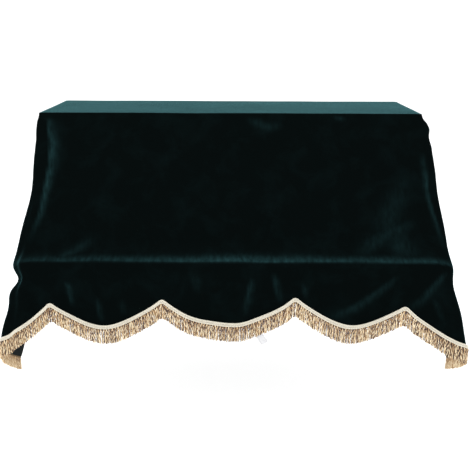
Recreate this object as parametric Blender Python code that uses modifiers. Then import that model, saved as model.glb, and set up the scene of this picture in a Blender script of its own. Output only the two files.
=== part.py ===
"""Velvet cover for an upright piano, in the shape in which it hangs there.

Metres, +Z up, +X to the right of someone facing the keyboard, +Y to the back.
The origin is the middle of the underside of the top panel, where the lid carries it.

Every point of the cloth is named by its place in the flat cut: u runs across it from the middle,
and v runs along it, 0 on the front edge of the lid and growing towards the scalloped hem.
drape() takes the flat cut to its place in the room.
"""
import math

import bmesh
import bpy
import numpy as np

# ---------------------------------------------------------------- sizes
LID_HALF = 0.75            # half the width of the lid under the cloth
LID_DEPTH = 0.40           # lid, front edge to back edge
OVERHANG = 0.38            # cloth past each end of the lid
BACK_DROP = 0.06           # cloth past the back edge of the lid
CLOTH = 0.002              # velvet thickness
SOFTNESS = 0.009           # how far a fold's rounding reaches on each side of it
LID_EDGE_SHARE = 0.5       # the lid's wooden edge bends the cloth tighter than its own folds do
LID_EDGE_REACH = 0.06      # over this much cloth past the lid the rounding grows to its full size
BRAID_RISE = 0.0004        # the braid's lower edge lies this far above the hem

BRAID_HEIGHT = 0.016
BRAID_THICKNESS = 0.002
FRINGE_LENGTH = 0.063
FRINGE_THICKNESS = 0.004
HEADER_HEIGHT = 0.009      # unbroken top of the comb
TOOTH_PITCH = 0.030
GAP = 0.0008               # between two pieces that are sewn together
HEM_GAP = 0.0035           # from the hem down to the comb, which hangs plumb while the hem leans

LABEL_U = 0.075            # where the label is sewn to the inside of the hem
LABEL_WIDTH = 0.027
LABEL_LENGTH = 0.120
LABEL_SEAM = 0.010         # how much of it lies above the hem
LABEL_TILT = 30.0          # degrees its lower end swings to the right
LABEL_CURL = 0.9           # how fast its lower end curls to the back, in 1/m
LABEL_THICKNESS = 0.0012

# The front, from the lid's edge down: length along the cloth, and slope at the end of that stretch in
# degrees below level. The slope turns evenly along each stretch.
FRONT_STRETCHES = (
    # stretch          length  slope
    ("slanted face",    0.505,  63.0),
    ("hollow",          0.060,  17.0),
    ("keyboard shelf",  0.045,  14.0),
    ("shelf edge",      0.012,  80.0),
    ("drop",            0.400,  89.0),
)
SLOPE_AT_LID = 66.5
SHELF_EDGE_V = 0.616       # v of the shelf's front edge

# The hem: turning points of the scallops, in the flat cut.
HEM = (
    # turning point      u       v
    ("left corner",    -1.130,  0.936),
    ("left end lobe",  -0.900,  0.905),
    ("left peak",      -0.688,  0.782),
    ("left lobe",      -0.497,  0.876),
    ("mid left peak",  -0.264,  0.770),
    ("middle lobe",    -0.022,  0.870),
    ("mid right peak",  0.241,  0.761),
    ("right lobe",      0.468,  0.871),
    ("right peak",      0.664,  0.796),
    ("right end lobe",  0.920,  0.930),
    ("right corner",    1.130,  0.926),
)
LOBE_FULLNESS = 0.9        # 1 is a plain sine wave, and less makes rounder lobes
PEAK_ROUNDING = 0.008      # half the width over which a peak of the hem is rounded

# Folds that fan out from each front corner of the lid. Each row is a direction seen from that corner:
# turn is the angle from straight back, down through the side of the piano, to straight ahead,
# and flare is the angle out from the side. The angle between rows is the angle between them in the
# flat cut, so the whole table turns through a half circle.
FAN = {
    "left": (
        # place              turn   flare
        ("front face",       115.0,  0.0),
        ("soft ridge",       116.2,  3.6),
        ("dip",              114.6,  6.2),
        ("front ridge",      113.2,  9.0),
        ("past the ridge",   109.0,  9.3),
        ("outer layer",       99.0,  7.2),
        ("outer layer",       88.0,  8.6),
        ("outer layer",       77.0,  8.2),
        ("fold back",         71.5,  6.2),
        ("inner layer",       75.0,  4.4),
        ("inner layer",       86.0,  4.6),
        ("inner layer",       94.0,  4.0),
        ("fold under",        97.5,  2.3),
        ("side flap",         94.0,  0.7),
        ("side flap",         84.0,  0.3),
        ("side flap",         60.0,  0.2),
        ("lid edge",           0.0,  0.2),
    ),
    "right": (
        ("front face",       115.0,  0.0),
        ("soft ridge",       115.2,  4.0),
        ("dip",              115.3,  6.4),
        ("front ridge",      115.0,  8.8),
        ("past the ridge",   111.5,  9.8),
        ("outer layer",      102.0,  8.2),
        ("outer layer",       90.0,  8.4),
        ("outer layer",       80.0,  9.2),
        ("fold back",         74.5,  7.2),
        ("inner layer",       77.5,  5.2),
        ("inner layer",       88.0,  4.4),
        ("inner layer",       96.5,  4.2),
        ("fold under",       100.0,  2.4),
        ("side flap",         96.5,  0.7),
        ("side flap",         86.0,  0.3),
        ("side flap",         60.0,  0.2),
        ("lid edge",           0.0,  0.2),
    ),
}
FAN_STEPS = 30             # points read between two rows of a fan
START_TURN = 115.0         # the fans start level with the slanted front
PLAIN_FLARE = 0.12         # close to the corner the cloth is one plain cone
BUNCH_START = 0.0          # the folds open out between these two distances from the corner
BUNCH_END = 0.035
SHELF_FADE = 17.0          # degrees of fan over which the shelf stops holding the cloth out
LEFT_STAND_OFF = 0.013     # thick cloth stands this far off the left end of the lid
STAND_OFF_REACH = 0.30     # and is back in place this far past the lid

# Where the folds stand out more or less than the fan says, because something pushes them: how far from
# the corner, half width, and the change as a share of how far the fold stands out.
FAN_SWELLS = (
    # side      reach   width   share
    ("left",    0.042,  0.038,  0.62),
    ("left",    0.300,  0.110, -0.26),
    ("left",    0.674,  0.036, -0.32),
    ("left",    0.780,  0.060, -0.10),
    ("left",    1.000,  0.080, -0.04),
    ("right",   0.040,  0.032,  2.50),
    ("right",   0.105,  0.050,  0.45),
    ("right",   0.180,  0.100,  0.28),
    ("right",   0.690,  0.050, -0.13),
    ("right",   0.750,  0.050, -0.06),
)

# The same for the back corners, with turn measured from straight ahead, down and to the back. Only a
# narrow strip of cloth is left there, and it hangs on straight from the side flap.
BACK_FAN = (
    ("back drop",         90.0,  0.0),
    ("ear",               93.0, 14.0),
    ("ear",              101.0, 26.0),
    ("ear",              113.0, 27.0),
    ("ear",              120.0, 15.0),
    ("side flap",        112.0,  2.0),
    ("side flap",        100.0,  0.2),
    ("side flap",         88.0,  0.2),
    ("lid edge",           0.0,  0.2),
)

# Soft folds of the drop below the shelf: where each starts and ends across the cloth, its half width,
# and how far its crest stands forward at the hem (a trough is negative).
DROP_FOLDS = (
    # name             u top   u hem   width   forward
    ("left outer",    -0.660, -0.700,  0.050,  0.008),
    ("left trough",   -0.560, -0.600,  0.060, -0.008),
    ("left crest",    -0.560, -0.480,  0.055,  0.012),
    ("left middle",   -0.380, -0.360,  0.050, -0.007),
    ("mid left",      -0.140, -0.180,  0.060,  0.010),
    ("mid trough",    -0.060, -0.070,  0.045, -0.007),
    ("middle crest",   0.060,  0.040,  0.040,  0.010),
    ("mid right",      0.170,  0.200,  0.050,  0.010),
    ("right trough",   0.300,  0.330,  0.055, -0.009),
    ("right crest",    0.640,  0.470,  0.060,  0.012),
    ("right hollow",   0.700,  0.590,  0.050, -0.008),
    ("right outer",    0.790,  0.690,  0.045,  0.010),
)
FOLD_RUN = 0.22            # a fold is full this far below the shelf's edge
FOLD_RUN_MOST = 1.3        # and grows on to this share of itself
# Waves of the side flaps: place along the lid, half width, and how far out they stand at the flap's edge.
FLAP_WAVES = (
    # side      v       width   out
    ("left",   -0.120,  0.060,  0.012),
    ("left",   -0.290,  0.070,  0.020),
    ("right",  -0.150,  0.070,  0.018),
    ("right",  -0.320,  0.060,  0.012),
)

SWING_POWER = 1.5          # flaps swing out more towards their lower edge

# Rows of the mesh: their v within the lid's width, and at the cloth's side edges. Those near the lid's
# front edge fan out from its corners, along the folds there.
ROWS = (
    # within   side edge
    (-0.460, -0.460),
    (-0.420, -0.420),
    (-0.404, -0.404),
    (-0.392, -0.392),
    (-0.300, -0.320),
    (-0.200, -0.240),
    (-0.100, -0.150),
    (-0.035, -0.070),
    (-0.016, -0.005),
    (-0.009,  0.045),
    (-0.003,  0.080),
    (0.003,   0.120),
    (0.009,   0.190),
    (0.016,   0.255),
    (0.030,   0.300),
    (0.070,   0.345),
    (0.150,   0.400),
    (0.240,   0.450),
    (0.330,   0.500),
    (0.420,   0.545),
    (0.500,   0.580),
    (0.530,   0.600),
    (0.555,   0.620),
    (0.585,   0.640),
    (0.609,   0.660),
    (0.621,   0.675),
    (0.645,   0.695),
)

DROP_PARTS = (0.35, 0.7, 1.0)   # more rows, at these shares of the way from the last one to the braid
FOLD_COLUMNS = 11          # columns in each side overhang
SCALLOP_COLUMNS = 4        # columns in each half scallop
PROFILE_STEP = 0.001       # the front's profile is added up in steps of this length
PROBE = 0.002              # half the length of cloth that a direction is measured over

# ---------------------------------------------------------------- the flat cut and how it hangs


def smooth_step(t):
    t = np.clip(t, 0.0, 1.0)
    return t * t * (3.0 - 2.0 * t)


def bump(distance, width):
    return np.exp(-(distance / width) ** 2)


def hem_v(u):
    """Where the hem is cut: quarter waves between the peaks and the lobes, the peaks a little rounded."""
    def sharp(across):
        cut = np.zeros_like(across)
        for (_, u0, v0), (_, u1, v1) in zip(HEM[:-1], HEM[1:]):
            inside = (across >= u0 - 1e-9) & (across <= u1 + 1e-9)
            t = (across - u0) / (u1 - u0)
            from_peak = np.clip(t if v1 > v0 else 1.0 - t, 0.0, 1.0)
            fall = np.sin(from_peak * math.pi / 2) ** LOBE_FULLNESS
            cut = np.where(inside, min(v0, v1) + abs(v1 - v0) * fall, cut)
        return cut
    limit = HEM[-1][1]
    return sum(sharp(np.clip(u + side * PEAK_ROUNDING, -limit, limit)) for side in (-1, 0, 1)) / 3.0


def front_profile(v):
    """(y, z) of the front's middle, measured from the lid's front edge."""
    stations, slopes = [0.0], [SLOPE_AT_LID]
    for _, length, slope in FRONT_STRETCHES:
        stations.append(stations[-1] + length)
        slopes.append(slope)
    along = np.arange(0.0, stations[-1], PROFILE_STEP)
    slope = np.radians(np.interp(along + PROFILE_STEP / 2, stations, slopes))
    forward = np.concatenate(([0.0], np.cumsum(np.cos(slope)) * PROFILE_STEP))
    down = np.concatenate(([0.0], np.cumsum(np.sin(slope)) * PROFILE_STEP))
    along = np.append(along, along[-1] + PROFILE_STEP)
    return -np.interp(v, along, forward), -np.interp(v, along, down)


def fan_directions(rows):
    """A smooth path of directions through a fan's rows, and the angle travelled at each."""
    knots = np.array([row[1:] for row in rows], float)
    knots = np.vstack((2 * knots[0] - knots[1], knots, 2 * knots[-1] - knots[-2]))
    t = np.linspace(0.0, 1.0, FAN_STEPS, endpoint=False)[:, None]
    spans = []
    for a, b, c, d in zip(knots[:-3], knots[1:-2], knots[2:-1], knots[3:]):
        spans.append(0.5 * (2 * b + (c - a) * t + (2 * a - 5 * b + 4 * c - d) * t ** 2
                            + (3 * b - 3 * c + d - a) * t ** 3))
    turn, flare = np.radians(np.vstack(spans + [knots[-2:-1]])).T
    path = np.stack((np.sin(flare), np.cos(flare) * np.cos(turn), -np.cos(flare) * np.sin(turn)), axis=1)
    travelled = np.concatenate(([0.0], np.cumsum(np.linalg.norm(np.diff(path, axis=0), axis=1))))
    return path, travelled * math.pi / travelled[-1], travelled[-1]


def fan_offset(rows, outward, along):
    """Offset from a corner of the lid to a point of the fan, for cloth past that corner."""
    path, travelled, _ = fan_directions(rows)
    reach = np.hypot(outward, along)
    angle = np.arctan2(outward, along)
    folded = np.stack([np.interp(angle, travelled, path[:, i]) for i in range(3)], axis=-1)
    plain_turn = np.radians(rows[0][1]) * (1.0 - angle / math.pi)
    plain = np.stack((PLAIN_FLARE * np.sin(angle), np.cos(plain_turn), -np.sin(plain_turn)), axis=-1)
    opened = smooth_step((reach - BUNCH_START) / (BUNCH_END - BUNCH_START))[..., None]
    return reach[..., None] * (plain + (folded - plain) * opened), angle


def sharp_drape(u, v):
    """The hanging cloth with its edges still sharp."""
    side = np.where(u < 0, -1.0, 1.0)
    outward = np.abs(u) - LID_HALF
    y_front, z_front = front_profile(np.maximum(v, 0.0))
    point = np.stack((np.clip(u, -LID_HALF, LID_HALF), -LID_DEPTH / 2 + y_front, z_front), axis=-1)
    on_lid = v <= 0.0
    point[on_lid, 1] = -LID_DEPTH / 2 - v[on_lid]
    behind = v < -LID_DEPTH
    point[behind, 1] = LID_DEPTH / 2
    point[behind, 2] = v[behind] + LID_DEPTH
    start = np.array([0.0, math.cos(math.radians(START_TURN)), -math.sin(math.radians(START_TURN))])
    for name, sign in (("left", -1.0), ("right", 1.0)):
        past = (outward > 0.0) & (side == sign)
        far = past & (v < -LID_DEPTH / 2)
        near = past & ~far
        offset, angle = fan_offset(FAN[name], outward[near], v[near])
        held = 1.0 - smooth_step(np.degrees(angle) / SHELF_FADE)
        shelf = np.stack((np.zeros_like(angle), y_front[near], z_front[near]), axis=-1)
        shelf -= start * np.maximum(v[near], 0.0)[:, None]
        offset += shelf * held[:, None]
        reach = np.hypot(outward[near], v[near])
        for swell_side, at_reach, width, share in FAN_SWELLS:
            if swell_side == name:
                offset[:, 0] *= 1.0 + share * bump(reach - at_reach, width)
        offset[:, 0] *= sign
        point[near] = offset + (sign * LID_HALF, -LID_DEPTH / 2, 0.0)
        offset, _ = fan_offset(BACK_FAN, outward[far], -LID_DEPTH - v[far])
        offset *= (sign, -1.0, 1.0)
        point[far] = offset + (sign * LID_HALF, LID_DEPTH / 2, 0.0)
        for wave_side, centre, width, out in FLAP_WAVES:
            if wave_side == name:
                swing = out * bump(v - centre, width) * np.clip(outward / OVERHANG, 0.0, 1.0) ** SWING_POWER
                point[past, 0] += sign * swing[past]
    below = np.clip((v - SHELF_EDGE_V) / FOLD_RUN, 0.0, FOLD_RUN_MOST)
    for _, u_top, u_hem, width, forward in DROP_FOLDS:
        centre = u_top + (u_hem - u_top) * below
        point[..., 1] -= forward * bump(u - centre, width) * smooth_step(below)
    past_lid = np.maximum(np.maximum(outward, v), 0.0)
    share = np.clip(0.5 - u / (2 * LID_HALF), 0.0, 1.0) * (1.0 - smooth_step(past_lid / STAND_OFF_REACH))
    point[..., 0] -= LEFT_STAND_OFF * share
    point[..., 2] += CLOTH / 2
    return point


def drape(u, v):
    """The hanging cloth: every sharp edge rounded by taking the middle of a small patch of cloth."""
    u, v = np.broadcast_arrays(np.asarray(u, float), np.asarray(v, float))
    past_lid = np.maximum(np.maximum(np.abs(u) - LID_HALF, v), -LID_DEPTH - v)
    reach = SOFTNESS * (LID_EDGE_SHARE + (1.0 - LID_EDGE_SHARE) * smooth_step(past_lid / LID_EDGE_REACH))
    total, weights = np.zeros(u.shape + (3,)), 0.0
    for du, wu in ((-1.0, 1.0), (-0.5, 2.0), (0.0, 2.0), (0.5, 2.0), (1.0, 1.0)):
        for dv, wv in ((-1.0, 1.0), (-0.5, 2.0), (0.0, 2.0), (0.5, 2.0), (1.0, 1.0)):
            moved = sharp_drape((u + du * reach).ravel(), (v + dv * reach).ravel())
            total += wu * wv * moved.reshape(total.shape)
            weights += wu * wv
    return total / weights


def outside(u, v):
    """Unit direction out of the cloth's pile side."""
    along_u = drape(u + PROBE, v) - drape(u - PROBE, v)
    along_v = drape(u, v + PROBE) - drape(u, v - PROBE)
    normal = np.cross(along_v, along_u)
    return normal / np.linalg.norm(normal, axis=-1, keepdims=True)


# ---------------------------------------------------------------- meshes


def between(start, end, count):
    """count values from start up to, but not at, end."""
    return list(start + (end - start) * np.arange(count) / count)


def column_lines():
    """Places across the cloth where the mesh has a column: evenly on each half scallop and each end."""
    inner = []
    for (_, u0, _), (_, u1, _) in zip(HEM[2:-3], HEM[3:-2]):
        inner += between(u0, u1, SCALLOP_COLUMNS)
    edge = LID_HALF + OVERHANG
    left = between(-edge, -LID_HALF, FOLD_COLUMNS) + between(-LID_HALF, HEM[2][1], 2)
    right = between(HEM[-3][1], LID_HALF, 3) + between(LID_HALF, edge, FOLD_COLUMNS)
    return np.array(left + inner + right + [edge])


def row_lines(u):
    """Places along the cloth where each column has a row, back edge first."""
    hem = hem_v(u)
    outward = np.clip((np.abs(u) - LID_HALF) / OVERHANG, 0.0, 1.0)
    rows = [inner + (outer - inner) * outward for inner, outer in ROWS]
    braid_top = hem - BRAID_HEIGHT
    rows += [rows[-1] + (braid_top - rows[-1]) * part for part in DROP_PARTS]
    return np.stack(rows + [hem], axis=1)


def grid_object(name, places, thickness, material, is_open=None):
    """A flat grid primitive whose corners are taken to their places, thickened into a solid.

    is_open(column, row) says which of the grid's cells are left out.
    """
    columns, rows = places.shape[:2]
    mesh = bpy.data.meshes.new(name)
    bm = bmesh.new()
    bmesh.ops.create_grid(bm, x_segments=columns - 1, y_segments=rows - 1, size=0.5)

    def cell(point):
        return (point.x + 0.5) * (columns - 1), (point.y + 0.5) * (rows - 1)

    if is_open:
        spaces = [face for face in bm.faces if is_open(*map(int, cell(face.calc_center_median())))]
        bmesh.ops.delete(bm, geom=spaces, context="FACES")
    for vertex in bm.verts:
        vertex.co = places[tuple(map(round, cell(vertex.co)))]
    bmesh.ops.reverse_faces(bm, faces=bm.faces)
    bm.to_mesh(mesh)
    bm.free()
    obj = bpy.data.objects.new(name, mesh)
    bpy.data.collections["PianoCover"].objects.link(obj)
    mesh.materials.append(material)
    solidify = obj.modifiers.new("thickness", "SOLIDIFY")
    solidify.thickness = thickness
    solidify.offset = 0.0
    mesh.shade_smooth()
    return obj


def make_material(name, colour, roughness):
    material = bpy.data.materials.new(name)
    material.use_nodes = True
    shader = material.node_tree.nodes["Principled BSDF"]
    shader.inputs["Base Color"].default_value = colour + (1.0,)
    shader.inputs["Roughness"].default_value = roughness
    shader.inputs["Metallic"].default_value = 0.0
    return material


def make_velvet():
    u = column_lines()
    v = row_lines(u)
    places = drape(u[:, None] + 0.0 * v, v)
    return grid_object("velvet_cover", places, CLOTH, make_material("velvet", (0.006, 0.022, 0.022), 0.9))


def make_braid():
    """The braid lies on the pile side of the hem and shares the cloth's columns."""
    u = column_lines()
    v = row_lines(u)[:, -2:] - (0.0, BRAID_RISE)
    across = u[:, None] + 0.0 * v
    lift = CLOTH / 2 + GAP + BRAID_THICKNESS / 2
    places = drape(across, v) + lift * outside(across, v)
    ivory = make_material("braid", (0.80, 0.76, 0.66), 0.7)
    return grid_object("braid_heading", places, BRAID_THICKNESS, ivory)


def make_fringe():
    """One comb: an unbroken header under the braid, and teeth that hang straight down from it."""
    u = column_lines()
    v = hem_v(u)
    edge = drape(u, v) + (CLOTH / 2 + GAP) * outside(u, v)
    run = np.concatenate(([0.0], np.cumsum(np.linalg.norm(np.diff(edge, axis=0), axis=1))))
    teeth = int(run[-1] / TOOTH_PITCH)
    cuts = np.linspace(0.0, run[-1], 2 * teeth)
    top = np.stack([np.interp(cuts, run, edge[:, i]) for i in range(3)], axis=1)
    top[:, 2] -= HEM_GAP
    drops = np.array((0.0, HEADER_HEIGHT, FRINGE_LENGTH))
    places = top[:, None, :] - drops[None, :, None] * (0.0, 0.0, 1.0)
    return grid_object("tassel_fringe", places, FRINGE_THICKNESS,
                       make_material("fringe", (0.62, 0.47, 0.28), 0.6),
                       is_open=lambda column, row: row == 1 and column % 2 == 1)


def make_label():
    """A strip sewn inside the hem. It hangs askew behind the fringe and curls a little to the back."""
    hem = drape(np.array(LABEL_U), hem_v(np.array(LABEL_U)))
    tilt = math.radians(LABEL_TILT)
    across = np.array((-0.5, 0.5))[:, None] * LABEL_WIDTH
    along = np.linspace(-LABEL_SEAM, LABEL_LENGTH - LABEL_SEAM, 8)[None, :]
    places = np.stack((hem[0] + along * math.sin(tilt) + across * math.cos(tilt),
                       hem[1] + CLOTH + 2 * GAP + LABEL_CURL * (along + LABEL_SEAM) ** 2 + 0.0 * across,
                       hem[2] - along * math.cos(tilt) + across * math.sin(tilt)), axis=-1)
    return grid_object("care_label", places, LABEL_THICKNESS, make_material("label", (0.85, 0.85, 0.84), 0.8))


for old in list(bpy.data.objects):
    bpy.data.objects.remove(old)
collection = bpy.data.collections.new("PianoCover")
bpy.context.scene.collection.children.link(collection)
for fan_name, fan_rows in (*FAN.items(), ("back", BACK_FAN)):
    print(fan_name, "fan turns through", round(math.degrees(fan_directions(fan_rows)[2]), 1), "degrees")
make_velvet()
make_braid()
make_fringe()
make_label()
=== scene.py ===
# %% [markdown]
# # A velvet piano cover, draped, trimmed and lit
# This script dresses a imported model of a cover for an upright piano. The model gives the true sizes:
# here each plain solid gets a detailed piece in its place, in the same metres and the same frame.
# The cover is one rectangle of velvet, so it is modelled the way it is made: a flat cut, with a
# function that says where each point of that cut hangs.

# %% Load the frame
import math

import bpy
import numpy as np
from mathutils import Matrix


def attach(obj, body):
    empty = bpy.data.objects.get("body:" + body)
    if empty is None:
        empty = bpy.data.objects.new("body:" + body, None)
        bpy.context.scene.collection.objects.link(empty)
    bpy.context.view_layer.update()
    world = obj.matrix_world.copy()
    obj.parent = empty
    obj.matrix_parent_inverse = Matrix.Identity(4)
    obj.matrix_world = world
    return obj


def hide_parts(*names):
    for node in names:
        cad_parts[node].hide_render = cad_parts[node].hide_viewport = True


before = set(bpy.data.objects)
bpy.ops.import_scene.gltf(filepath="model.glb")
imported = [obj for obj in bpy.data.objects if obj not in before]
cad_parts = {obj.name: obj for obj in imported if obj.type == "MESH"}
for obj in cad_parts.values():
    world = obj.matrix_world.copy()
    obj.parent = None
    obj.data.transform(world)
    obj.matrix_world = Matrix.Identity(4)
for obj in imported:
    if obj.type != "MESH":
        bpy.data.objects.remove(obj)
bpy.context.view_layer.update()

# %% [markdown]
# ## The sizes of the cut
# A seamstress works from a few numbers: the lid of the piano, how far the cloth hangs past it, and
# how deep the scallops are. u runs across the cloth from its middle, and v runs along it, 0 on the
# front edge of the lid and growing towards the hem.

# %% Driving sizes
LID_HALF = 0.75
LID_DEPTH = 0.40
OVERHANG = 0.38
BACK_DROP = 0.06
CLOTH = 0.002
SOFTNESS = 0.009
LID_EDGE_SHARE = 0.5           # the lid's wooden edge bends the cloth tighter than its own folds do
LID_EDGE_REACH = 0.06          # over this much cloth past the lid the rounding grows to its full size
BRAID_HEIGHT = 0.016
FRINGE_LENGTH = 0.063
SIDE_EDGE = LID_HALF + OVERHANG

FRONT_STRETCHES = (
    # stretch          length  slope at its end, degrees below level
    ("slanted face",    0.505,  63.0),
    ("hollow",          0.060,  17.0),
    ("keyboard shelf",  0.045,  14.0),
    ("shelf edge",      0.012,  80.0),
    ("drop",            0.400,  89.0),
)
SLOPE_AT_LID = 66.5
SHELF_EDGE_V = 0.616

HEM = (
    # turning point      u       v
    ("left corner",    -1.130,  0.936),
    ("left end lobe",  -0.900,  0.905),
    ("left peak",      -0.688,  0.782),
    ("left lobe",      -0.497,  0.876),
    ("mid left peak",  -0.264,  0.770),
    ("middle lobe",    -0.022,  0.870),
    ("mid right peak",  0.241,  0.761),
    ("right lobe",      0.468,  0.871),
    ("right peak",      0.664,  0.796),
    ("right end lobe",  0.920,  0.930),
    ("right corner",    1.130,  0.926),
)
PEAK_ROUNDING = 0.008
LOBE_FULLNESS = 0.9            # 1 is a plain sine wave, and less makes rounder lobes
print("cloth:", 2 * SIDE_EDGE, "m wide, scallops:", sum(row[0].endswith("lobe") for row in HEM))

# %% [markdown]
# ## How cloth leaves a corner
# Cloth doesn't stretch, so round a corner of the lid it can only fan out into folds that all point at
# that corner. Each row below is a direction seen from the corner. The angle between two rows is the
# same in the air and in the flat cut, so the whole fan turns through a half circle and the cloth
# keeps its area. turn goes from straight back, down past the side, to straight ahead. flare goes
# out from the piano's side.

# %% The fans
FAN_ROWS = (
    # place            left: turn  flare   right: turn  flare
    ("front face",        115.0,   0.0,       115.0,   0.0),
    ("soft ridge",        116.2,   3.6,       115.2,   4.0),
    ("dip",               114.6,   6.2,       115.3,   6.4),
    ("front ridge",       113.2,   9.0,       115.0,   8.8),
    ("past the ridge",    109.0,   9.3,       111.5,   9.8),
    ("outer layer",        99.0,   7.2,       102.0,   8.2),
    ("outer layer",        88.0,   8.6,        90.0,   8.4),
    ("outer layer",        77.0,   8.2,        80.0,   9.2),
    ("fold back",          71.5,   6.2,        74.5,   7.2),
    ("inner layer",        75.0,   4.4,        77.5,   5.2),
    ("inner layer",        86.0,   4.6,        88.0,   4.4),
    ("inner layer",        94.0,   4.0,        96.5,   4.2),
    ("fold under",         97.5,   2.3,       100.0,   2.4),
    ("side flap",          94.0,   0.7,        96.5,   0.7),
    ("side flap",          84.0,   0.3,        86.0,   0.3),
    ("side flap",          60.0,   0.2,        60.0,   0.2),
    ("lid edge",            0.0,   0.2,         0.0,   0.2),
)
FAN = {"left": [row[:3] for row in FAN_ROWS],
       "right": [(row[0], *row[3:]) for row in FAN_ROWS]}
BACK_FAN = (
    ("back drop",         90.0,  0.0),
    ("ear",               93.0, 14.0),
    ("ear",              101.0, 26.0),
    ("ear",              113.0, 27.0),
    ("ear",              120.0, 15.0),
    ("side flap",        112.0,  2.0),
    ("side flap",        100.0,  0.2),
    ("side flap",         88.0,  0.2),
    ("lid edge",           0.0,  0.2),
)
FAN_STEPS = 30
START_TURN = 115.0             # the fans start level with the slanted front
PLAIN_FLARE = 0.12             # close to the corner the cloth is one plain cone
BUNCH_START = 0.0
BUNCH_END = 0.035
SHELF_FADE = 17.0
LEFT_STAND_OFF = 0.013         # thick cloth stands this far off the left end of the lid
STAND_OFF_REACH = 0.30         # and is back in place this far past the lid

# %% [markdown]
# ## Folds of the drop and the flaps
# Below the keyboard shelf the cloth hangs free, so soft folds start there and widen to the hem.
# They are placed one by one, a row for each fold, because even folds look like a curtain on a rail.

# %% Fold tables
DROP_FOLDS = (
    # fold             u top   u hem   width   forward
    ("left outer",    -0.660, -0.700,  0.050,  0.008),
    ("left trough",   -0.560, -0.600,  0.060, -0.008),
    ("left crest",    -0.560, -0.480,  0.055,  0.012),
    ("left middle",   -0.380, -0.360,  0.050, -0.007),
    ("mid left",      -0.140, -0.180,  0.060,  0.010),
    ("mid trough",    -0.060, -0.070,  0.045, -0.007),
    ("middle crest",   0.060,  0.040,  0.040,  0.010),
    ("mid right",      0.170,  0.200,  0.050,  0.010),
    ("right trough",   0.300,  0.330,  0.055, -0.009),
    ("right crest",    0.640,  0.470,  0.060,  0.012),
    ("right hollow",   0.700,  0.590,  0.050, -0.008),
    ("right outer",    0.790,  0.690,  0.045,  0.010),
)
FOLD_RUN = 0.22                # a fold is full this far below the shelf's edge
FOLD_RUN_MOST = 1.3
SWING_POWER = 1.5              # flaps swing out more towards their lower edge
FLAP_WAVES = (
    # side      v       width   out
    ("left",   -0.120,  0.060,  0.012),
    ("left",   -0.290,  0.070,  0.020),
    ("right",  -0.150,  0.070,  0.018),
    ("right",  -0.320,  0.060,  0.012),
)

# %% [markdown]
# The folds also stand out more where something pushes them: thick cloth bulges right under the lid's
# corner, sinks in under that, and falls back in below the corner of the keyboard. Each row swells or
# pinches the fan at one distance from the corner, as a share of how far the fold stands out there.

# %% Bulges and pinches of the fans
FAN_SWELLS = (
    # side      reach   width   share
    ("left",    0.042,  0.038,  0.62),
    ("left",    0.300,  0.110, -0.26),
    ("left",    0.674,  0.036, -0.32),
    ("left",    0.780,  0.060, -0.10),
    ("left",    1.000,  0.080, -0.04),
    ("right",   0.040,  0.032,  2.50),
    ("right",   0.105,  0.050,  0.45),
    ("right",   0.180,  0.100,  0.28),
    ("right",   0.690,  0.050, -0.13),
    ("right",   0.750,  0.050, -0.06),
)

# %% [markdown]
# ## The drape
# The drape is built in two steps. First every edge is sharp: flat pieces over the lid, a profile
# down the front, and the fans at the corners. Then each point becomes the middle of a small patch
# round it, which rounds every edge as thick cloth does.

# %% Small helpers
FULL_TURN = 2 * math.pi


def smooth_step(t):
    t = np.clip(t, 0.0, 1.0)
    return t * t * (3.0 - 2.0 * t)


def bump(distance, width):
    return np.exp(-(distance / width) ** 2)


def between(start, end, count):
    """count values from start up to, but not at, end."""
    return list(start + (end - start) * np.arange(count) / count)


def unit(vectors):
    """The vectors at length one."""
    return vectors / np.linalg.norm(vectors, axis=-1, keepdims=True)


def add_object(name, data):
    """An object in the scene made from a mesh, a camera or a light."""
    obj = bpy.data.objects.new(name, data)
    bpy.context.scene.collection.objects.link(obj)
    return obj

# %% [markdown]
# The hem is a row of scallops. On the real cover they are chalked round a template and cut. Here each
# half scallop is a quarter of a wave, so that its turning points can be moved one by one.

# %% The scalloped edge


def hem_v(u):
    """Where the hem is cut: quarter waves between the peaks and the lobes, the peaks a little rounded."""
    def sharp(across):
        cut = np.zeros_like(across)
        for (_, u0, v0), (_, u1, v1) in zip(HEM[:-1], HEM[1:]):
            inside = (across >= u0 - 1e-9) & (across <= u1 + 1e-9)
            t = (across - u0) / (u1 - u0)
            from_peak = np.clip(t if v1 > v0 else 1.0 - t, 0.0, 1.0)
            fall = np.sin(from_peak * math.pi / 2) ** LOBE_FULLNESS
            cut = np.where(inside, min(v0, v1) + abs(v1 - v0) * fall, cut)
        return cut
    return sum(sharp(np.clip(u + side * PEAK_ROUNDING, -SIDE_EDGE, SIDE_EDGE)) for side in (-1, 0, 1)) / 3.0


flat_u = np.linspace(-SIDE_EDGE, SIDE_EDGE, 2001)
flat_area = float(np.mean(hem_v(flat_u) + LID_DEPTH + BACK_DROP) * 2 * SIDE_EDGE)
flat_length = float(hem_v(flat_u).max() + LID_DEPTH + BACK_DROP)
print(f"flat cut {2 * SIDE_EDGE:.2f} x {flat_length:.2f} m, {flat_area:.2f} square metres")

# %% [markdown]
# Down the middle of the front the cloth bends in one direction only. A list of lengths and slopes
# gives that line, and adding up small steps along it keeps the cloth's length true.

# %% The front's profile, from the lid down
PROFILE_STEP = 0.001


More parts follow.
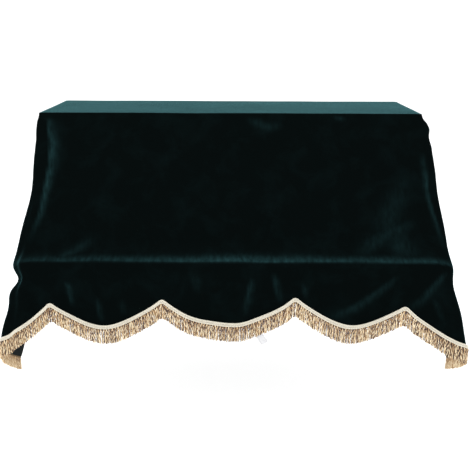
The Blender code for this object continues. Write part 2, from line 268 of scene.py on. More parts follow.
def front_profile(v):
    """(y, z) of the front's middle, measured from the lid's front edge."""
    stations, slopes = [0.0], [SLOPE_AT_LID]
    for _, length, slope in FRONT_STRETCHES:
        stations.append(stations[-1] + length)
        slopes.append(slope)
    along = np.arange(0.0, stations[-1], PROFILE_STEP)
    slope = np.radians(np.interp(along + PROFILE_STEP / 2, stations, slopes))
    forward = np.concatenate(([0.0], np.cumsum(np.cos(slope)) * PROFILE_STEP))
    down = np.concatenate(([0.0], np.cumsum(np.sin(slope)) * PROFILE_STEP))
    along = np.append(along, along[-1] + PROFILE_STEP)
    return -np.interp(v, along, forward), -np.interp(v, along, down)


print("the front falls", round(-float(front_profile(SHELF_EDGE_V)[1]), 3), "m to the shelf's edge")

# %% [markdown]
# A fan is a path of directions. A smooth curve through the rows of its table gives the path, and a
# point of the cut finds its place by its angle at the corner and its distance from the corner.

# %% A fan of folds


def fan_directions(rows):
    """A smooth path of directions through a fan's rows, and the angle travelled at each."""
    knots = np.array([row[1:] for row in rows], float)
    knots = np.vstack((2 * knots[0] - knots[1], knots, 2 * knots[-1] - knots[-2]))
    t = np.linspace(0.0, 1.0, FAN_STEPS, endpoint=False)[:, None]
    spans = []
    for a, b, c, d in zip(knots[:-3], knots[1:-2], knots[2:-1], knots[3:]):
        spans.append(0.5 * (2 * b + (c - a) * t + (2 * a - 5 * b + 4 * c - d) * t ** 2
                            + (3 * b - 3 * c + d - a) * t ** 3))
    turn, flare = np.radians(np.vstack(spans + [knots[-2:-1]])).T
    path = np.stack((np.sin(flare), np.cos(flare) * np.cos(turn), -np.cos(flare) * np.sin(turn)), axis=1)
    travelled = np.concatenate(([0.0], np.cumsum(np.linalg.norm(np.diff(path, axis=0), axis=1))))
    return path, travelled * math.pi / travelled[-1], travelled[-1]


def fan_offset(rows, outward, along):
    """Offset from a corner of the lid to a point of the fan, for cloth past that corner."""
    path, travelled, _ = fan_directions(rows)
    reach = np.hypot(outward, along)
    angle = np.arctan2(outward, along)
    folded = np.stack([np.interp(angle, travelled, path[:, i]) for i in range(3)], axis=-1)
    plain_turn = np.radians(rows[0][1]) * (1.0 - angle / math.pi)
    plain = np.stack((PLAIN_FLARE * np.sin(angle), np.cos(plain_turn), -np.sin(plain_turn)), axis=-1)
    opened = smooth_step((reach - BUNCH_START) / (BUNCH_END - BUNCH_START))[..., None]
    return reach[..., None] * (plain + (folded - plain) * opened), angle


for fan_name, fan_rows in FAN.items():
    print(fan_name, "fan turns through", round(math.degrees(fan_directions(fan_rows)[2]), 1), "degrees")

# %% [markdown]
# Now the parts meet. Each point of the cut goes to the lid, the back drop, the front or a fan, and the
# folds of the drop and the waves of the flaps are added there. Whole arrays are moved at once.

# %% The drape, edges still sharp


def sharp_drape(u, v):
    """The hanging cloth with its edges still sharp."""
    side = np.where(u < 0, -1.0, 1.0)
    outward = np.abs(u) - LID_HALF
    y_front, z_front = front_profile(np.maximum(v, 0.0))
    point = np.stack((np.clip(u, -LID_HALF, LID_HALF), -LID_DEPTH / 2 + y_front, z_front), axis=-1)
    on_lid = v <= 0.0
    point[on_lid, 1] = -LID_DEPTH / 2 - v[on_lid]
    behind = v < -LID_DEPTH
    point[behind, 1] = LID_DEPTH / 2
    point[behind, 2] = v[behind] + LID_DEPTH
    start = np.array([0.0, math.cos(math.radians(START_TURN)), -math.sin(math.radians(START_TURN))])
    for name, sign in (("left", -1.0), ("right", 1.0)):
        past = (outward > 0.0) & (side == sign)
        far = past & (v < -LID_DEPTH / 2)
        near = past & ~far
        offset, angle = fan_offset(FAN[name], outward[near], v[near])
        held = 1.0 - smooth_step(np.degrees(angle) / SHELF_FADE)
        shelf = np.stack((np.zeros_like(angle), y_front[near], z_front[near]), axis=-1)
        shelf -= start * np.maximum(v[near], 0.0)[:, None]
        offset += shelf * held[:, None]
        reach = np.hypot(outward[near], v[near])
        for swell_side, at_reach, width, share in FAN_SWELLS:
            if swell_side == name:
                offset[:, 0] *= 1.0 + share * bump(reach - at_reach, width)
        offset[:, 0] *= sign
        point[near] = offset + (sign * LID_HALF, -LID_DEPTH / 2, 0.0)
        offset, _ = fan_offset(BACK_FAN, outward[far], -LID_DEPTH - v[far])
        offset *= (sign, -1.0, 1.0)
        point[far] = offset + (sign * LID_HALF, LID_DEPTH / 2, 0.0)
        for wave_side, centre, width, out in FLAP_WAVES:
            if wave_side == name:
                swing = out * bump(v - centre, width) * np.clip(outward / OVERHANG, 0.0, 1.0) ** SWING_POWER
                point[past, 0] += sign * swing[past]
    below = np.clip((v - SHELF_EDGE_V) / FOLD_RUN, 0.0, FOLD_RUN_MOST)
    for _, u_top, u_hem, width, forward in DROP_FOLDS:
        centre = u_top + (u_hem - u_top) * below
        point[..., 1] -= forward * bump(u - centre, width) * smooth_step(below)
    past_lid = np.maximum(np.maximum(outward, v), 0.0)
    share = np.clip(0.5 - u / (2 * LID_HALF), 0.0, 1.0) * (1.0 - smooth_step(past_lid / STAND_OFF_REACH))
    point[..., 0] -= LEFT_STAND_OFF * share
    point[..., 2] += CLOTH / 2
    return point


# %% [markdown]
# Thick cloth has no sharp edge. A bevel would round a mesh. This rounds the function itself, so the
# braid and the fringe, which ask it for their places, follow the same round edges.

# %% Round its edges
PATCH = ((-1.0, 1.0), (-0.5, 2.0), (0.0, 2.0), (0.5, 2.0), (1.0, 1.0))     # steps across, and weights


def soft_drape(u, v):
    """The hanging cloth: every sharp edge rounded by taking the middle of a small patch of cloth."""
    u, v = np.broadcast_arrays(np.asarray(u, float), np.asarray(v, float))
    past_lid = np.maximum(np.maximum(np.abs(u) - LID_HALF, v), -LID_DEPTH - v)
    reach = SOFTNESS * (LID_EDGE_SHARE + (1.0 - LID_EDGE_SHARE) * smooth_step(past_lid / LID_EDGE_REACH))
    total, weights = np.zeros(u.shape + (3,)), 0.0
    for du, wu in PATCH:
        for dv, wv in PATCH:
            moved = sharp_drape((u + du * reach).ravel(), (v + dv * reach).ravel())
            total += wu * wv * moved.reshape(total.shape)
            weights += wu * wv
    return total / weights


# %% [markdown]
# ## Fine creases
# A real cover has been folded, packed and stroked. Long soft creases run down the slanted front,
# and nothing is quite flat. Each crease is a short line on the cloth with a width and a height,
# and a few slow waves with seeded random phases keep the large faces from looking ruled.

# %% Creases and slow waves
CREASES = (
    # crease                u0      v0      u1      v1     width   height
    ("left streak top",   -0.722,  0.020, -0.686,  0.130,  0.016,  0.0050),
    ("left streak",       -0.686,  0.130, -0.735,  0.300,  0.015,  0.0050),
    ("left streak foot",  -0.735,  0.300, -0.790,  0.440,  0.018,  0.0050),
    ("right fold top",     0.742,  0.150,  0.755,  0.300,  0.014,  0.0040),
    ("right fold",         0.755,  0.300,  0.812,  0.490,  0.018,  0.0050),
    ("right sweep",        0.560,  0.420,  0.700,  0.540,  0.030,  0.0030),
    ("right sweep low",    0.500,  0.500,  0.600,  0.560,  0.030,  0.0025),
    ("top dent",           0.090,  0.030,  0.130,  0.060,  0.020, -0.0020),
    ("top dent right",     0.420,  0.020,  0.440,  0.040,  0.015, -0.0018),
)
WAVE_COUNT = 14
WAVE_HEIGHT = 0.0006
LID_SHARE = 0.12               # on the lid the cloth lies almost flat
HANG_REACH = 0.10              # and this far past the lid it hangs free
CREASE_ENDS = 0.45             # a crease's height at its ends, as a share of the height in its middle
wave_random = np.random.default_rng(11)
WAVES = [(wave_random.uniform(8, 30), wave_random.uniform(0, FULL_TURN), wave_random.uniform(0, FULL_TURN))
         for _ in range(WAVE_COUNT)]


def fine_height(u, v):
    """How far the cloth stands out of its main shape, from creases and slow waves."""
    height = np.zeros(np.broadcast(u, v).shape)
    for _, u0, v0, u1, v1, width, rise in CREASES:
        run = np.array((u1 - u0, v1 - v0))
        t = ((u - u0) * run[0] + (v - v0) * run[1]) / (run @ run)
        t = np.clip(t, 0.0, 1.0)
        distance = np.hypot(u - u0 - t * run[0], v - v0 - t * run[1])
        height += rise * bump(distance, width) * (CREASE_ENDS + (1.0 - CREASE_ENDS) * np.sin(math.pi * t))
    hangs = np.maximum(smooth_step(v / HANG_REACH), smooth_step((np.abs(u) - LID_HALF) / HANG_REACH))
    for frequency, heading, phase in WAVES:
        wave = np.sin(frequency * (u * math.cos(heading) + v * math.sin(heading)) + phase)
        height += WAVE_HEIGHT * (LID_SHARE + (1.0 - LID_SHARE) * hangs) * wave
    return height


# %% [markdown]
# The creases stand out from the cloth, so they need the direction out of it. That is measured between
# points close by, which works for any drape, whatever its folds.

# %% The finished drape
PROBE = 0.002                  # half the length of cloth that a direction is measured over


def outside(u, v):
    """Unit direction out of the cloth's pile side."""
    along_u = soft_drape(u + PROBE, v) - soft_drape(u - PROBE, v)
    along_v = soft_drape(u, v + PROBE) - soft_drape(u, v - PROBE)
    return unit(np.cross(along_v, along_u))


def drape(u, v):
    """The finished cloth: the soft drape with its creases, and the direction out of it."""
    out = outside(u, v)
    return soft_drape(u, v) + fine_height(u, v)[..., None] * out, out


# %% [markdown]
# ## Camera
# The cover is seen from in front and a little above the lid. The camera looks down by about twenty
# degrees, and a 45 mm lens keeps the flare of the sides that a close view gives.

# %% Camera
CAMERA_SPOT = (0.0095, -2.55, 0.333)
CAMERA_PITCH = 19.7
CAMERA_ROLL = -0.22            # a hand-set camera is rarely dead level
CAMERA_LENS = 45.1
camera_data = bpy.data.cameras.new("front_camera")
camera_data.lens = CAMERA_LENS
camera_data.sensor_width = 36.0
camera = add_object("front_camera", camera_data)
camera.location = CAMERA_SPOT
camera.rotation_euler = (math.radians(90.0 - CAMERA_PITCH), math.radians(CAMERA_ROLL), 0.0)
bpy.context.scene.camera = camera
bpy.context.scene.view_settings.view_transform = "Standard"
print("camera at", CAMERA_SPOT, "pitch", CAMERA_PITCH)

# %% [markdown]
# ## Colours and nodes
# Colours are written as sRGB hex, the way a colour picker shows them, and one function turns them
# into the linear values that a renderer adds up. One more function adds any node.

# %% Colours and nodes
STRIPE_TURN = 20.0             # a wave texture of scale 1 turns through 20 radians in a metre
COLOUR_MIX = {"data_type": "RGBA", "output": 2}    # a mix node's settings and output for colours


def linear(hex_colour):
    """An sRGB hex colour as linear red, green, blue and alpha."""
    parts = [int(hex_colour[i:i + 2], 16) / 255 for i in (1, 3, 5)]
    return tuple(p / 12.92 if p <= 0.04045 else ((p + 0.055) / 1.055) ** 2.4 for p in parts) + (1.0,)


def fill(tree, node, inputs):
    """Fill a node's inputs with values or with other nodes' outputs."""
    for name, value in inputs.items():
        if isinstance(value, bpy.types.NodeSocket):
            tree.links.new(value, node.inputs[name])
        else:
            node.inputs[name].default_value = value


def add_node(tree, kind, inputs=None, output=0, **settings):
    """Add a node, set it, fill its inputs, and give back one of its outputs."""
    node = tree.nodes.new("ShaderNode" + kind)
    for name, value in settings.items():
        setattr(node, name, value)
    fill(tree, node, inputs or {})
    return node.outputs[output]


def start_material(name, uv_map="cut"):
    """A material, its nodes, its Principled shader, and where each point is on the named UV map."""
    material = bpy.data.materials.new(name)
    material.use_nodes = True
    tree = material.node_tree
    return material, tree, tree.nodes["Principled BSDF"], add_node(tree, "UVMap", uv_map=uv_map)


def stripe_scale(pitch):
    """The scale of a wave texture whose stripes are that far apart, in metres."""
    return FULL_TURN / STRIPE_TURN / pitch


# %% [markdown]
# ## Velvet
# Velvet is woven as two cloths face to face and cut apart, which leaves an upright pile about 1.5 mm
# tall. Looked at end on, the pile swallows light, so the front is nearly black. Looked at along the
# cloth, the sides of the fibres catch light, so the lid and the shelf shine green. The Principled
# shader's sheen does just that. An attribute painted on the mesh also makes the colour paler in
# streaks: a few where the pile has been brushed over, most of them painted sheen on folds, edges and the
# shelf.

# %% Velvet pile material
PILE_SPACING = 0.0016          # tufts are 0.4 mm apart; drawn four times coarser so that they show
velvet, tree, shader, cut = start_material("cut_pile_velvet")
# The painted attribute: paler streaks, a few of brushed pile and most of them painted sheen.
nap_and_sheen = add_node(tree, "Attribute", output="Fac", attribute_name="nap_and_sheen")
tufts = add_node(tree, "TexNoise", {"Vector": cut, "Scale": 1.0 / PILE_SPACING, "Detail": 2.0})
brushed = add_node(tree, "TexNoise", {"Vector": cut, "Scale": 9.0, "Detail": 5.0, "Roughness": 0.62,
                                      "Distortion": 0.4})
along_pile = add_node(tree, "Mapping", {"Vector": cut, "Scale": (70.0, 22.0, 1.0)})
streaks = add_node(tree, "TexNoise", {"Vector": along_pile, "Scale": 1.0, "Detail": 4.0, "Roughness": 0.6})
streak_share = add_node(tree, "MapRange", {"Value": streaks, "From Min": 0.32, "From Max": 0.68,
                                           "To Min": 0.45, "To Max": 1.55})
brushed_lift = add_node(tree, "MapRange", {"Value": brushed, "From Min": 0.48, "From Max": 0.80,
                                           "To Max": 0.020})
streaked = add_node(tree, "Math", {0: nap_and_sheen, 1: streak_share}, operation="MULTIPLY")
lift = add_node(tree, "Math", {0: streaked, 1: brushed_lift}, operation="ADD", use_clamp=True)
# The pale colour carries the painted sheen and the brushed patches of pile.
pile_colour = add_node(tree, "Mix", {0: lift, 6: linear("#040707"), 7: linear("#2c5154")}, **COLOUR_MIX)
tuft_shade = add_node(tree, "MapRange", {"Value": tufts, "To Min": 0.75, "To Max": 1.25})
pile_shaded = add_node(tree, "Mix", {0: 1.0, 6: pile_colour, 7: tuft_shade}, blend_type="MULTIPLY",
                       **COLOUR_MIX)
brushed_bump = add_node(tree, "Bump", {"Height": brushed, "Strength": 0.25, "Distance": 0.004})
tuft_bump = add_node(tree, "Bump", {"Height": tufts, "Strength": 0.35, "Distance": 0.0008,
                                    "Normal": brushed_bump})
fill(tree, shader, {
    "Base Color": pile_shaded, "Normal": tuft_bump, "Roughness": 1.0, "Specular IOR Level": 0.0,
    "Sheen Weight": 1.0, "Sheen Roughness": 0.22, "Sheen Tint": linear("#598e93"),
})
print("velvet: pile drawn at", PILE_SPACING * 1000, "mm")

# %% [markdown]
# The back of velvet has no pile. It is a plain weave in the same dye, matt and a little lighter,
# and it shows inside the cover, where the ends wrap round behind the front.

# %% Velvet backing material
BACKING_THREAD = 0.003         # threads are 0.5 mm apart; drawn six times coarser so that they show
backing, tree, shader, cut = start_material("velvet_backing_weave")
thread_stripes = {"Vector": cut, "Scale": stripe_scale(BACKING_THREAD), "Distortion": 0.3}
warp, weft = (add_node(tree, "TexWave", thread_stripes, output="Fac", bands_direction=direction)
              for direction in "XY")
weave = add_node(tree, "Math", {0: warp, 1: weft}, operation="MAXIMUM")
backing_colour = add_node(tree, "Mix", {0: weave, 6: linear("#040707"), 7: linear("#0a1112")}, **COLOUR_MIX)
weave_bump = add_node(tree, "Bump", {"Height": weave, "Strength": 0.4, "Distance": 0.0004})
fill(tree, shader, {"Base Color": backing_colour, "Normal": weave_bump, "Roughness": 0.9,
                    "Specular IOR Level": 0.15})
print("back of the velvet: threads drawn at", BACKING_THREAD * 1000, "mm")

# %% [markdown]
# ## The cloth's mesh
# The mesh is a grid in the flat cut. Across the ends its rows fan out from the lid's corners, so that
# they run along the folds instead of crossing them, which keeps the folds smooth. The grid carries
# its flat coordinates in metres as a UV map, so the pile keeps its scale however the cloth hangs.

# %% Rows and columns
CELL = 0.0098
ROWS = (
    # v within the lid's width, v at the side edges
    (-0.460, -0.460), (-0.420, -0.420), (-0.404, -0.404), (-0.392, -0.392), (-0.300, -0.320),
    (-0.200, -0.240), (-0.100, -0.150), (-0.035, -0.070), (-0.016, -0.005), (-0.009, 0.045),
    (-0.003, 0.080), (0.003, 0.120), (0.009, 0.190), (0.016, 0.255), (0.030, 0.300),
    (0.070, 0.345), (0.150, 0.400), (0.240, 0.450), (0.330, 0.500), (0.420, 0.545),
    (0.500, 0.580), (0.530, 0.600), (0.555, 0.620), (0.585, 0.640), (0.609, 0.660),
    (0.621, 0.675), (0.645, 0.695),
)


def fine_columns():
    ends = int(OVERHANG / CELL * 1.1)
    middle = int(2 * LID_HALF / CELL)
    return np.array(between(-SIDE_EDGE, -LID_HALF, ends) + between(-LID_HALF, LID_HALF, middle)
                    + between(LID_HALF, SIDE_EDGE, ends) + [SIDE_EDGE])


def fine_rows(u):
    """v of every mesh row in every column, back edge first."""
    outward = np.clip((np.abs(u) - LID_HALF) / OVERHANG, 0.0, 1.0)
    inner, outer = [], []
    for (i0, o0), (i1, o1) in zip(ROWS[:-1], ROWS[1:]):
        count = max(1, math.ceil(max(abs(i1 - i0), abs(o1 - o0)) / CELL))
        inner += between(i0, i1, count)
        outer += between(o0, o1, count)
    inner, outer = np.array(inner), np.array(outer)
    rows = inner[None, :] + (outer - inner)[None, :] * outward[:, None]
    last = ROWS[-1][0] + (ROWS[-1][1] - ROWS[-1][0]) * outward
    hem = hem_v(u)
    drop_rows = math.ceil((hem - last).max() / CELL) + 1
    parts = np.linspace(0.0, 1.0, drop_rows)
    return np.concatenate((rows, last[:, None] + (hem - last)[:, None] * parts), axis=1)


# %% [markdown]
# Every sheet and strip here is a grid, so one function makes the mesh of each. A modifier gives it its
# thickness, and place() says which body it rides on and which plain solid it stands for.

# %% Turn a grid of places into a mesh


def grid_mesh(name, places, flat, materials):
    """A grid of quads through the given places, with its flat coordinates as the UV map named cut."""
    columns, rows = places.shape[:2]
    index = np.arange(columns * rows).reshape(columns, rows)
    corners = (index[:-1, :-1], index[:-1, 1:], index[1:, 1:], index[1:, :-1])
    faces = np.stack([corner.ravel() for corner in corners], axis=1)
    mesh = bpy.data.meshes.new(name)
    mesh.from_pydata(places.reshape(-1, 3).tolist(), [], faces.tolist())
    layer = mesh.uv_layers.new(name="cut")
    layer.data.foreach_set("uv", flat.reshape(-1, 2)[faces.ravel()].ravel())
    for material in materials:
        mesh.materials.append(material)
    mesh.shade_smooth()
    return add_object(name, mesh)


def thicken(obj, thickness, inside_material=0):
    """Give a sheet its thickness, half to each side."""
    solidify = obj.modifiers.new("thickness", "SOLIDIFY")
    solidify.thickness = thickness
    solidify.offset = 0.0
    solidify.material_offset = inside_material
    solidify.use_rim = True


def place(obj, node):
    """Every piece rides on the one body and stands for its node, whose plain solid is hidden."""
    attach(obj, "root")
    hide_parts(node)


# %% [markdown]
# A few strokes are pile that hands have brushed over, which shows paler; most are painted sheen, pale
# streaks where light catches a fold, an edge of the front or the keyboard shelf. Each stroke is a line
# of stops on the flat cut. A stop has its place, how far the stroke reaches to the left and to the right
# of someone walking along it, and its strength. One narrow side gives the hard edge of a painted
# highlight on a fold.

# %% Strokes of brushed nap and painted sheen
NAP_AND_SHEEN_STROKES = {
    # stops of u, v, reach to the left, reach to the right: millimetres; and strength: thousandths
    "left edge": ((-718, 15, 8, 4, 0), (-713, 45, 18, 4, 80), (-706, 120, 26, 4, 140),
        (-711, 200, 24, 4, 120), (-728, 285, 18, 4, 150), (-738, 345, 16, 4, 120), (-747, 400, 14, 5, 100),
        (-768, 460, 12, 5, 40), (-790, 520, 12, 5, 0)),
    "right edge": ((748, 150, 6, 16, 0), (755, 220, 4, 10, 80), (760, 300, 4, 8, 110), (782, 400, 4, 8, 90),
        (812, 490, 5, 12, 30), (830, 550, 5, 12, 0)),
    "shelf": ((-860, 612, 14, 3, 30), (-700, 610, 26, 4, 90), (-450, 610, 24, 4, 110),
        (-200, 610, 26, 4, 160), (20, 610, 32, 4, 190), (200, 610, 30, 4, 170), (400, 610, 26, 4, 140),
        (600, 611, 26, 4, 130), (760, 612, 22, 4, 120), (860, 612, 14, 3, 50)),
    "under the lid": ((60, 20, 12, 12, 0), (110, 40, 16, 20, 50), (150, 55, 16, 16, 40),
        (210, 45, 12, 12, 0)),
    "under the lid, right": ((400, 12, 8, 8, 0), (425, 18, 8, 10, 60), (455, 22, 8, 8, 0)),
    "left foot": ((-640, 580, 20, 14, 50), (-575, 530, 20, 20, 40), (-520, 480, 16, 16, 0)),
    "right low": ((700, 220, 30, 30, 0), (640, 340, 40, 40, 30), (600, 430, 50, 40, 35),
        (660, 540, 40, 40, 40), (740, 590, 30, 30, 0)),
    "right low sweep": ((470, 580, 30, 30, 0), (540, 520, 30, 24, 45), (640, 460, 24, 20, 50),
        (720, 430, 20, 20, 0)),
    "left drop": ((-625, 690, 8, 5, 0), (-617, 712, 12, 5, 80), (-615, 750, 12, 5, 70),
        (-603, 795, 12, 8, 0)),
    "left drop, second": ((-508, 750, 8, 6, 0), (-506, 785, 12, 6, 60), (-500, 820, 12, 6, 40),
        (-490, 850, 10, 10, 0)),
    "left drop, third": ((-418, 760, 8, 6, 0), (-415, 790, 10, 8, 30), (-410, 830, 10, 10, 0)),
    "mid left drop": ((-160, 650, 14, 14, 0), (-135, 690, 18, 14, 35), (-125, 740, 14, 14, 0)),
    "middle drop": ((80, 670, 10, 6, 0), (71, 700, 14, 7, 70), (60, 757, 16, 8, 60), (50, 830, 14, 14, 0)),
    "mid right drop": ((155, 650, 8, 6, 0), (161, 685, 14, 6, 70), (172, 728, 14, 7, 60),
        (195, 775, 12, 12, 0)),
    "by the mid right peak": ((266, 690, 8, 6, 0), (273, 720, 12, 6, 70), (284, 760, 10, 8, 0)),
    "right drop": ((640, 655, 10, 6, 0), (590, 695, 16, 7, 50), (463, 786, 18, 8, 60),
        (340, 850, 14, 12, 0)),
    "right drop, second": ((820, 640, 10, 6, 0), (790, 670, 14, 7, 70), (717, 757, 16, 8, 50),
        (660, 800, 14, 12, 0)),
    "right drop, third": ((760, 740, 8, 8, 0), (785, 790, 12, 10, 35), (820, 860, 10, 10, 0)),
}


def nap_and_sheen_strength(u, v):
    """How much paler the pile is drawn, from brushed nap and painted sheen: the strongest stroke there."""
    strength = np.zeros(np.broadcast(u, v).shape)
    for stops in NAP_AND_SHEEN_STROKES.values():
        stops = np.array(stops) / 1000.0
        for (u0, v0, *start), (u1, v1, *end) in zip(stops[:-1], stops[1:]):
            run_u, run_v = u1 - u0, v1 - v0
            t = np.clip(((u - u0) * run_u + (v - v0) * run_v) / (run_u ** 2 + run_v ** 2), 0.0, 1.0)
            left, right, force = (a + (b - a) * t for a, b in zip(start, end))
            distance = np.hypot(u - u0 - t * run_u, v - v0 - t * run_v)
            on_left = run_u * (v - v0) - run_v * (u - u0) < 0.0
            strength = np.maximum(strength, force * bump(distance, np.where(on_left, left, right)))
    return strength


print(len(NAP_AND_SHEEN_STROKES), "strokes in the nap")

# %% [markdown]
# Now the flat grid is taken to where it hangs, and gets its 2 mm. It is one mesh, as the cover is one
# cloth. A cloth simulation could drape it too, but its folds would fall where they like, and placing
# them by function puts each one where it lies on the real cover.

# %% Make the velvet
u_lines = fine_columns()
v_lines = fine_rows(u_lines)
u_grid = u_lines[:, None] + 0.0 * v_lines
velvet_places, _ = drape(u_grid, v_lines)
velvet_flat = np.stack((u_grid, v_lines), axis=-1)
velvet_piece = grid_mesh("velvet_drape", velvet_places, velvet_flat, [velvet, backing])
# Brushed nap and painted sheen go onto the mesh as a point attribute.
nap_and_sheen_layer = velvet_piece.data.attributes.new("nap_and_sheen", "FLOAT", "POINT")
nap_and_sheen_layer.data.foreach_set("value", nap_and_sheen_strength(u_grid, v_lines).ravel())
thicken(velvet_piece, CLOTH, inside_material=1)
place(velvet_piece, "velvet_cover")
print("velvet grid", v_lines.shape, "cells")

# %% [markdown]
# ## The hem as a path
# The braid and the fringe both follow the hem. They are laid out on it by length, as a machine feeds
# trim, so the path is measured once: places, directions out of the cloth, and level directions along.

# %% Measure the hem
hem_u = np.linspace(-SIDE_EDGE, SIDE_EDGE, 1601)


def level(vectors):
    """The vectors with no rise, at unit length."""
    return unit(vectors * (1.0, 1.0, 0.0))


def hem_strip(up):
    """Places on the cloth at a height up above the hem, and the direction out of the cloth there."""
    return drape(hem_u, hem_v(hem_u) - up)


hem_places, hem_out = hem_strip(0.0)
hem_run = np.concatenate(([0.0], np.cumsum(np.linalg.norm(np.diff(hem_places, axis=0), axis=1))))
print("hem length", round(float(hem_run[-1]), 3), "m")


def along_hem(values, at):
    """Read any list that goes with hem_u at distances along the hem."""
    return np.stack([np.interp(at, hem_run, values[:, i]) for i in range(values.shape[1])], axis=1)


def hem_ribbon(name, heights, lift, thickness, material):
    """A strip along the hem, so far out of the cloth. What is below the hem hangs straight down."""
    places, flat = [], []
    for up in heights:
        strip, out = hem_strip(max(up, 0.0))
        places.append(strip + out * lift + (0.0, 0.0, min(up, 0.0)))
        flat.append(np.stack((hem_run, np.full_like(hem_run, up)), axis=1))
    piece = grid_mesh(name, np.stack(places, axis=1), np.stack(flat, axis=1), [material])
    thicken(piece, thickness)
    return piece


# %% [markdown]
# ## Yarn
# Braid and fringe are rayon yarn, spun smooth and slightly glossy. The twist of each yarn is too fine
# to model, so it is drawn as a slanting ripple on the tube's own coordinates: round the yarn, and
# along it in metres.

# %% Yarn materials
YARN_TWIST = 0.0022            # one turn of the spun yarn; drawn twice its real length


def yarn_material(name, dark, middle, light, roughness):
    """Spun rayon: a slanting ripple, and a tone from the mesh's tone attribute, dark 0 to light 1."""
    material, tree, shader, wound = start_material(name, "wound")
    tone = add_node(tree, "Attribute", output="Fac", attribute_name="tone")
    around, along = (add_node(tree, "SeparateXYZ", {0: wound}, output=axis) for axis in "XY")
    turns = add_node(tree, "Math", {0: along, 1: 1.0 / YARN_TWIST}, operation="MULTIPLY")
    slant = add_node(tree, "Math", {0: around, 1: turns}, operation="ADD")
    angle = add_node(tree, "Math", {0: slant, 1: FULL_TURN}, operation="MULTIPLY")
    wave = add_node(tree, "Math", {0: angle}, operation="SINE")
    ripple = add_node(tree, "MapRange", {"Value": wave, "From Min": -1.0})
    lower = add_node(tree, "MapRange", {"Value": tone, "From Max": 0.5})
    upper = add_node(tree, "MapRange", {"Value": tone, "From Min": 0.5})
    low_colour = add_node(tree, "Mix", {0: lower, 6: linear(dark), 7: linear(middle)}, **COLOUR_MIX)
    colour = add_node(tree, "Mix", {0: upper, 6: low_colour, 7: linear(light)}, **COLOUR_MIX)
    shade = add_node(tree, "MapRange", {"Value": ripple, "To Min": 0.78, "To Max": 1.08})
    shaded = add_node(tree, "Mix", {0: 1.0, 6: colour, 7: shade}, blend_type="MULTIPLY", **COLOUR_MIX)
    ripple_bump = add_node(tree, "Bump", {"Height": ripple, "Strength": 0.5, "Distance": 0.0003})
    fill(tree, shader, {"Base Color": shaded, "Normal": ripple_bump, "Roughness": roughness,
                        "Sheen Weight": 0.3, "Sheen Roughness": 0.4})
    return material


fringe_yarn = yarn_material("spun_rayon_beige", "#3a1c08", "#b08a5b", "#ead8b4", 0.45)
braid_yarn = yarn_material("spun_rayon_ivory", "#b5ad9b", "#c5bfae", "#d4cec0", 0.5)
print("yarn: twist drawn at", YARN_TWIST * 1000, "mm")

# %% [markdown]
# ## Tubes in bulk
# Hundreds of yarns are best made as one mesh. tubes() takes the centre lines of many yarns at once,
# each with the same number of points, carries a small cross-section along them without twisting it,
# and joins the rings with quads.

# %% Tube builder


def tubes(name, centres, radius, sides, tones, material):
    """One mesh of many tubes. centres is yarns x points x 3, and tones is yarns x points."""
    yarns, points = centres.shape[:2]
    tangent = unit(np.gradient(centres, axis=1))
    side = np.empty_like(centres)
    first = np.cross(tangent[:, 0], (0.0, 1.0, 0.0))
    too_short = np.linalg.norm(first, axis=1, keepdims=True) < 0.2
    side[:, 0] = unit(np.where(too_short, np.cross(tangent[:, 0], (1.0, 0.0, 0.0)), first))
    for i in range(1, points):
        last, ahead = side[:, i - 1], tangent[:, i]
        side[:, i] = unit(last - ahead * np.sum(last * ahead, axis=1, keepdims=True))
    other = np.cross(tangent, side)
    angle = FULL_TURN * np.arange(sides) / sides
    ring = (np.cos(angle)[:, None] * side[:, :, None, :] + np.sin(angle)[:, None] * other[:, :, None, :])
    radius = np.broadcast_to(radius, (yarns, points))[:, :, None, None]
    places = centres[:, :, None, :] + radius * ring
    index = np.arange(yarns * points * sides).reshape(yarns, points, sides)
    around = np.roll(index, -1, axis=2)
    quads = np.stack((index[:, :-1], around[:, :-1], around[:, 1:], index[:, 1:]), axis=-1).reshape(-1, 4)
    caps = np.concatenate((index[:, 0, ::-1], index[:, -1]))
    mesh = bpy.data.meshes.new(name)
    mesh.from_pydata(places.reshape(-1, 3).tolist(), [], quads.tolist() + caps.tolist())
    run = np.linalg.norm(np.diff(centres, axis=1), axis=2).cumsum(axis=1)
    run = np.concatenate((np.zeros((yarns, 1)), run), axis=1)
    wound = np.stack(np.broadcast_arrays(np.arange(sides) / sides, run[:, :, None]), axis=-1).reshape(-1, 2)
    uv = wound[np.concatenate((quads.ravel(), caps.ravel()))]
    uv_quads = uv[:quads.size].reshape(yarns, points - 1, sides, 4, 2)
    uv_quads[:, :, -1, 1:3, 0] = 1.0
    layer = mesh.uv_layers.new(name="wound")
    layer.data.foreach_set("uv", uv.ravel())
    tone = mesh.attributes.new("tone", "FLOAT", "POINT")
    tone.data.foreach_set("value", np.repeat(np.broadcast_to(tones, (yarns, points)).ravel(), sides))
    mesh.materials.append(material)
    mesh.shade_smooth()
    return add_object(name, mesh)


# %% [markdown]
# ## The braid
# The heading of a fringe is a gimp braid: a flat woven tape with a cord along each edge and a zigzag
# of cord between them. The tape is a thin strip on the velvet, and the cords are laid on it.

# %% Braid tape
TAPE_THICKNESS = 0.0012
TAPE_LIFT = CLOTH / 2 + 0.0008 + TAPE_THICKNESS / 2
TAPE_ROWS = 5
RIB_PITCH = 0.002417           # ribs are about 1.2 mm apart; drawn twice as coarse so that they show

